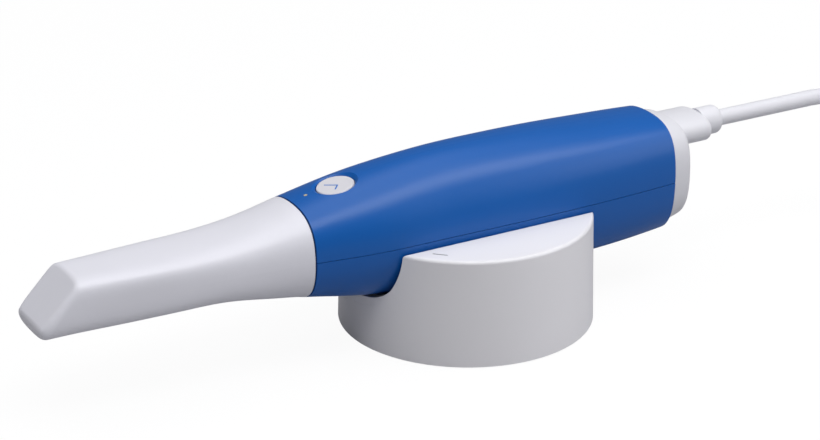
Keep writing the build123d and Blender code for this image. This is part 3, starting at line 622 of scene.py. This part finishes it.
@dataclass
class IndexGrooveShade:
    """Grey fill in the groove on top of the cradle: painted shade that makes the groove darker than its own shading
    renders.

    All lengths are in millimetres.

    Attributes:
        reach: distance of its centre from the cradle's middle.
        turn: direction of its centre, in degrees.
        length: length over its round ends.
        width: its width.
        top: height of its upper face, just below the cradle's.
        thickness: its thickness.
        edge: radius of its edges.
        steps: points round the disc that it starts as, and over each edge.
    """

    reach: float = 38.2
    turn: float = 225.5
    length: float = 5.16
    width: float = 0.56
    top: float = 37.84
    thickness: float = 0.2
    edge: float = 0.04
    steps: tuple[int, int] = (32, 2)

    def build(self, workshop: Workshop) -> None:
        """Part the halves of a small disc to a slot's shape, round its edges and lay it in the groove."""
        around, over = self.steps
        deselect()
        bpy.ops.mesh.primitive_cylinder_add(vertices=around, radius=self.width / 2 * MM, depth=self.thickness * MM)
        fill = bpy.context.object
        fill.name = "cradle_index_groove_shade"
        apart = (self.length - self.width) / 2 * MM
        for vertex in fill.data.vertices:
            vertex.co.y += apart if vertex.co.y > 0 else -apart
        modify(fill, "BEVEL", width=self.edge * MM, segments=over, limit_method="ANGLE")
        turn = radians(self.turn)
        fill.rotation_euler.z = turn
        fill.location = Vector((self.reach * cos(turn), self.reach * sin(turn), self.top - self.thickness / 2)) * MM
        bpy.ops.object.transform_apply(location=True, rotation=True, scale=True)
        smooth(fill)
        # The grey colour is painted shade of the groove.
        workshop.dress(fill, INDEX_GROOVE_SHADE)
        take(Body.BASE, fill)


@dataclass
class Cradle:
    """Weighted desk cradle."""

    finishes: dict[str, Finish] = field(
        default_factory=lambda: {
            "cradle_shell": CRADLE_WHITE,
            "cradle_base_plate": CRADLE_INNER,
            "cradle_screws": STEEL,
            "cradle_foot_pad": FOOT_RUBBER,
            "cradle_ballast": IRON,
        }
    )

    def build(self, workshop: Workshop) -> None:
        """Dress the cradle's pieces, close the front of its trough and lay grey painted shade in its index groove."""
        workshop.dress_nodes(self.finishes)
        TroughLip().build(workshop)
        # The grey piece in the index groove is painted shade of the groove.
        IndexGrooveShade().build(workshop)


@dataclass
class Handpiece:
    """Shell, rear cap, nose barrel and what they hold."""

    finishes: dict[str, Finish] = field(
        default_factory=lambda: {
            "upper_housing": SHELL_BLUE,
            "lower_housing": SHELL_BLUE,
            "rear_cap": CAP_WHITE,
            "joint_seal": SEAL_RUBBER,
            "nose_barrel": BLACK_PLASTIC,
            "nose_window": GLASS,
            "status_light": LIGHT_LENS,
            "power_button": CAP_WHITE,
            "chassis": CAST_METAL,
            "chassis_screws": STEEL,
            "lens_barrel": BLACK_METAL,
            "lens_group": GLASS,
            "prism": GLASS,
            "camera_board": BOARD_GREEN,
            "projector_module": BLACK_METAL,
            "projector_sink": SINK_METAL,
            "main_board": BOARD_GREEN,
            "processor_sink": SINK_METAL,
            "vibration_motor": STEEL,
            "socket_board": BOARD_GREEN,
            "cable_socket": STEEL,
            "button_board": BOARD_GREEN,
            "button_switch": BLACK_PLASTIC,
            "power_switch": BLACK_PLASTIC,
        }
    )

    def build(self, workshop: Workshop) -> None:
        """Dress the handpiece's pieces."""
        workshop.dress_nodes(self.finishes)


@dataclass
class Tip:
    """Sleeve that goes into the mouth, with its mirror."""

    finishes: dict[str, Finish] = field(default_factory=lambda: {"tip_shell": TIP_WHITE, "tip_mirror": MIRROR})

    def build(self, workshop: Workshop) -> None:
        """Dress the tip's pieces."""
        workshop.dress_nodes(self.finishes)


@dataclass
class ScanButton:
    """Round button with its printed tick.

    Attributes:
        centre: middle of the button's face.
        tilt: slope of the face in degrees, down towards the tip.
        corner: where the strokes meet, along and across the face from its middle.
        arm: end of the long stroke, from the corner.
        hook: end of the short stroke, from the corner.
        width: width of both strokes.
        proud: thickness of the print.
        lift: how far the short stroke lies above the long one, as a share of the thickness.
        rounding: radius of the strokes' ends, as a share of their width.
        steps: points over each end.
    """

    centre: Place = (-50.73 * MM, 0.0, 57.83 * MM)
    tilt: float = 10.976868
    corner: tuple[float, float] = (0.47 * MM, -0.84 * MM)
    arm: tuple[float, float] = (-3.06 * MM, 3.36 * MM)
    hook: tuple[float, float] = (-1.9 * MM, -1.97 * MM)
    width: float = 0.48 * MM
    proud: float = 0.06 * MM
    lift: float = 0.1
    rounding: float = 0.49
    steps: int = 4

    def build(self, workshop: Workshop) -> None:
        """Dress the button and print its tick."""
        workshop.dress_nodes({"scan_button": BUTTON_WHITE})
        mark = self.tick()
        workshop.dress(mark, MARK_BLUE)
        take(Body.SCAN_BUTTON, mark)

    def stroke(self, way: tuple[float, float], name: str) -> bpy.types.Object:
        """Model one stroke from the corner, with its end round.

        Args:
            way: where it ends, from the corner.
            name: the piece's name.

        Returns:
            The stroke, flat on z = 0.
        """
        deselect()
        bpy.ops.mesh.primitive_cube_add(size=1, location=(0, 0, 0))
        bar = bpy.context.object
        bar.name = name
        reach = hypot(*way) + self.width
        bar.scale = (reach, self.width, self.proud)
        bpy.ops.object.transform_apply(location=False, rotation=False, scale=True)
        weights = bar.data.attributes.new("bevel_weight_edge", "FLOAT", "EDGE")
        for edge, weight in zip(bar.data.edges, weights.data):
            ends = [bar.data.vertices[index].co for index in edge.vertices]
            weight.value = 1.0 if abs(ends[0].z - ends[1].z) > self.proud / 2 else 0.0
        modify(bar, "BEVEL", width=self.width * self.rounding, segments=self.steps, limit_method="WEIGHT")
        middle = Vector((self.corner[0] + way[0] / 2, self.corner[1] + way[1] / 2, 0.0))
        turn = Matrix.Rotation(atan2(way[1], way[0]), 4, "Z")
        bar.data.transform(Matrix.Translation(middle) @ turn)
        return bar

    def tick(self) -> bpy.types.Object:
        """Join the two strokes and lay them on the face."""
        mark = self.stroke(self.arm, "button_tick")
        hook = self.stroke(self.hook, "button_tick_hook")
        hook.data.transform(Matrix.Translation((0.0, 0.0, self.proud * self.lift)))
        deselect()
        hook.select_set(True)
        mark.select_set(True)
        bpy.context.view_layer.objects.active = mark
        bpy.ops.object.join()
        turn = Matrix.Rotation(-radians(self.tilt), 4, "Y")
        mark.data.transform(Matrix.Translation(self.centre) @ turn)
        return mark


@dataclass
class Cable:
    """Cable from the rear cap to the hub plug, with the part past the picture's edge coiled.

    Attributes:
        radius: radius of the sheath.
        exit: where it leaves the collar.
        way: its way from the collar down to the coil, in millimetres.
        middle: centre of the coil, in millimetres.
        entry: angle in degrees at which it comes onto the coil and leaves it.
        outer: radius of the outermost turn.
        inner: radius where the lower layer ends.
        inset: how far inside that the upper layer starts.
        turns: turns of each layer.
        climb: degrees over which the cable climbs from one layer to the other.
        steps: points on each turn.
        tail: its way from the coil to the plug, in millimetres.
        length: its real length; not used.
        rings: points round a quarter of the sheath, and along it between two points of the way.
        on_plug: pieces at its far end; not used.
    """

    radius: float = 2.95 * MM
    exit: Place = (105.3 * MM, 0.0, 52.3 * MM)
    way: tuple[Place, ...] = (
        (137.6, 0.0, 52.3),
        (160.51, 0.0, 52.3),
        (180.209, 1.5, 40.703),
        (196.02, 5.499, 15.139),
        (214.812, 3.001, 2.95),
        (234.9, -6.2, 2.95),
    )
    middle: tuple[float, float] = (215.984, -47.499)
    entry: float = 65.391
    outer: float = 45.425
    inner: float = 18.875
    inset: float = 0.5
    turns: float = 4.5
    climb: float = 90.0
    steps: int = 16
    tail: tuple[Place, ...] = (
        (234.9, -6.2, 8.85),
        (243.4, -12.4, 13.4),
        (248.227, -22.429, 14.713),
        (251.653, -43.148, 16.0),
        (244.262, -62.804, 16.0),
    )
    length: float = 2.03
    rings: tuple[int, int] = (6, 5)
    on_plug: tuple[str, ...] = ("hub_collar", "hub_plug", "hub_plug_shell")

    def coil_points(self) -> list[Place]:
        """Points of both layers of the coil, in millimetres, from the entry to the tail."""
        layer = self.radius / MM
        step = 360 / self.steps
        sweep = 360 * self.turns
        count = round(sweep / step)
        swell = 1 / cos(pi / self.steps)
        points = []
        for index in range(1, count):
            reach = self.outer + (self.inner - self.outer) * index / count
            points.append(self.on_turn(self.entry - index * step, reach * swell, layer))
        start = self.inner - self.inset
        for index in range(count):
            gone = index * step
            wound = max(0.0, gone - self.climb) / (sweep - self.climb)
            reach = start + (self.outer - start) * wound
            height = layer * (1 + 2 * min(1.0, gone / self.climb))
            points.append(self.on_turn(self.entry - sweep - gone, reach * swell, height))
        return points

    def on_turn(self, angle: float, reach: float, height: float) -> Place:
        """Point at an angle in degrees and a distance from the coil's middle."""
        return (
            self.middle[0] + reach * cos(radians(angle)),
            self.middle[1] + reach * sin(radians(angle)),
            height,
        )

    def sheath(self) -> bpy.types.Object:
        """Lay the sheath along the whole way as one smooth curve."""
        route = [tuple(part / MM for part in self.exit), *self.way, *self.coil_points(), *self.tail]
        curve = bpy.data.curves.new("cable_sheath", "CURVE")
        curve.dimensions = "3D"
        curve.bevel_depth = self.radius
        curve.bevel_resolution, along = self.rings
        curve.use_fill_caps = True
        spline = curve.splines.new("NURBS")
        spline.points.add(len(route) - 1)
        for point, (x, y, z) in zip(spline.points, route):
            point.co = (x * MM, y * MM, z * MM, 1.0)
        spline.order_u = 3
        spline.use_endpoint_u = True
        spline.resolution_u = along
        sheath = bpy.data.objects.new("cable_sheath", curve)
        bpy.context.scene.collection.objects.link(sheath)
        return sheath

    def build(self, workshop: Workshop) -> None:
        sheath = self.sheath()
        workshop.dress(sheath, CABLE_WHITE)
        take(Body.BASE, sheath)
        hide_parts("cable", "cable_coil", "cable_tail")
        workshop.dress_nodes(
            {
                "plug_body": CAP_WHITE,
                "plug_shell": STEEL,
                "plug_collar": CABLE_WHITE,
                "hub_collar": CABLE_WHITE,
                "hub_plug": CAP_WHITE,
                "hub_plug_shell": STEEL,
            }
        )


# The studio


@dataclass
class Lamp:
    """Soft rectangular lamp.

    Attributes:
        name: the lamp's name.
        place: where it hangs.
        size: width and height.
        power: watts.
    """

    name: str
    place: Place
    size: tuple[float, float]
    power: float

    def build(self, aim: Vector) -> None:
        """Hang the lamp so that it faces a point."""
        light = bpy.data.lights.new(self.name, "AREA")
        light.shape = "RECTANGLE"
        light.size, light.size_y = self.size
        light.energy = self.power
        lamp = bpy.data.objects.new(self.name, light)
        lamp.location = self.place
        lamp.rotation_euler = (aim - Vector(self.place)).to_track_quat("-Z", "Y").to_euler()
        bpy.context.scene.collection.objects.link(lamp)


@dataclass
class Studio:
    """Floor, light and camera.

    Attributes:
        target: point that the camera looks at.
        azimuth: way round from -Y towards -X, in degrees.
        elevation: height above the horizon in degrees.
        distance: from the target to the camera.
        lens: focal length in millimetres.
        sensor: width of the sensor in millimetres.
        sight: nearest and furthest that the camera sees.
        floor_size: side of the floor.
        floor_colour: display colour of the floor.
        floor_roughness: its roughness.
        floor_gloss: level of its mirror-like share.
        floor_glow: share of plain white that the eye sees on the floor.
        glow_strength: strength of that white.
        lamps: the lamps.
        sky: strength of the even light of the room.
    """

    target: Vector = field(default_factory=lambda: Vector((-22.284, 0.0, 39.309)) * MM)
    azimuth: float = -30.2105
    elevation: float = 22.6988
    distance: float = 0.756
    lens: float = 98.5905
    sensor: float = 36.0
    sight: tuple[float, float] = (0.01, 50.0)
    floor_size: float = 14.0
    floor_colour: Colour = (170.0, 170.0, 172.0)
    floor_roughness: float = 0.9
    floor_gloss: float = 0.1
    floor_glow: float = 0.85
    glow_strength: float = 1.105
    lamps: tuple[Lamp, ...] = (
        Lamp("ceiling", (0.0, 0.0, 1.4), (2.4, 2.0), 10.4),
        Lamp("overhead", (-0.05, 0.0, 1.1), (1.4, 1.0), 3.6),
        Lamp("strip", (0.0, -0.4, 1.0), (1.6, 0.35), 4.7),
        Lamp("corner", (0.7, -0.35, 0.95), (0.7, 0.7), 1.4),
        Lamp("side", (0.9, -0.8, 0.5), (0.7, 0.7), 2.9),
        Lamp("front", (-0.6, -1.1, 0.7), (0.7, 0.7), 1.1),
    )
    sky: float = 0.157

    def build(self) -> None:
        """Set up the scene."""
        self.floor()
        self.world()
        for lamp in self.lamps:
            lamp.build(self.target)
        self.camera()
        bpy.context.scene.view_settings.view_transform = "Standard"

    def floor(self) -> None:
        """Lay a pale floor that shows white to the eye and keeps a soft shadow."""
        deselect()
        bpy.ops.mesh.primitive_plane_add(size=self.floor_size, location=(0, 0, 0))
        floor = bpy.context.object
        floor.name = "floor"
        recipe = Recipe("floor_white")
        recipe.set(
            Base_Color=linear(self.floor_colour),
            Roughness=self.floor_roughness,
            Specular_IOR_Level=self.floor_gloss,
        )
        path = recipe.node("ShaderNodeLightPath", {}, {})
        direct, through = (Term(recipe, path.outputs[f"Is {kind} Ray"]) for kind in ("Camera", "Transmission"))
        seen = (direct + through).limited()
        glow = recipe.node("ShaderNodeEmission", {}, {"Color": WHITE, "Strength": self.glow_strength})
        blend = recipe.node(
            "ShaderNodeMixShader",
            {},
            {0: seen * self.floor_glow, 1: recipe.shader.outputs[0], 2: glow.outputs[0]},
        )
        recipe.tree.links.new(blend.outputs[0], recipe.tree.nodes["Material Output"].inputs["Surface"])
        floor.data.materials.append(recipe.material)

    def world(self) -> None:
        """Light the room evenly, and show white where the floor ends."""
        world = bpy.data.worlds.new("room")
        bpy.context.scene.world = world
        world.use_nodes = True
        tree = world.node_tree
        ground = tree.nodes["Background"]
        ground.inputs["Color"].default_value = WHITE
        ground.inputs["Strength"].default_value = self.sky
        white = tree.nodes.new("ShaderNodeBackground")
        white.inputs["Color"].default_value = WHITE
        white.inputs["Strength"].default_value = 1.0
        path = tree.nodes.new("ShaderNodeLightPath")
        blend = tree.nodes.new("ShaderNodeMixShader")
        tree.links.new(path.outputs["Is Camera Ray"], blend.inputs[0])
        tree.links.new(ground.outputs[0], blend.inputs[1])
        tree.links.new(white.outputs[0], blend.inputs[2])
        tree.links.new(blend.outputs[0], tree.nodes["World Output"].inputs["Surface"])

    def camera(self) -> None:
        """Place the camera at the picture's viewing angle."""
        turn, rise = radians(self.azimuth), radians(self.elevation)
        back = Vector((sin(turn) * cos(rise), -cos(turn) * cos(rise), sin(rise)))
        eye = bpy.data.cameras.new("camera")
        eye.lens = self.lens
        eye.sensor_width = self.sensor
        eye.clip_start, eye.clip_end = self.sight
        camera = bpy.data.objects.new("camera", eye)
        camera.location = self.target + back * self.distance
        camera.rotation_mode = "QUATERNION"
        camera.rotation_quaternion = (-back).to_track_quat("-Z", "Y")
        bpy.context.scene.collection.objects.link(camera)
        bpy.context.scene.camera = camera


def main() -> None:
    """Build the scene in order."""
    logging.basicConfig(level=logging.INFO, format="%(message)s")
    workshop = Workshop()
    Studio().build()
    Cable().build(workshop)
    Cradle().build(workshop)
    Handpiece().build(workshop)
    Tip().build(workshop)
    ScanButton().build(workshop)


if __name__ == "__main__":
    main()
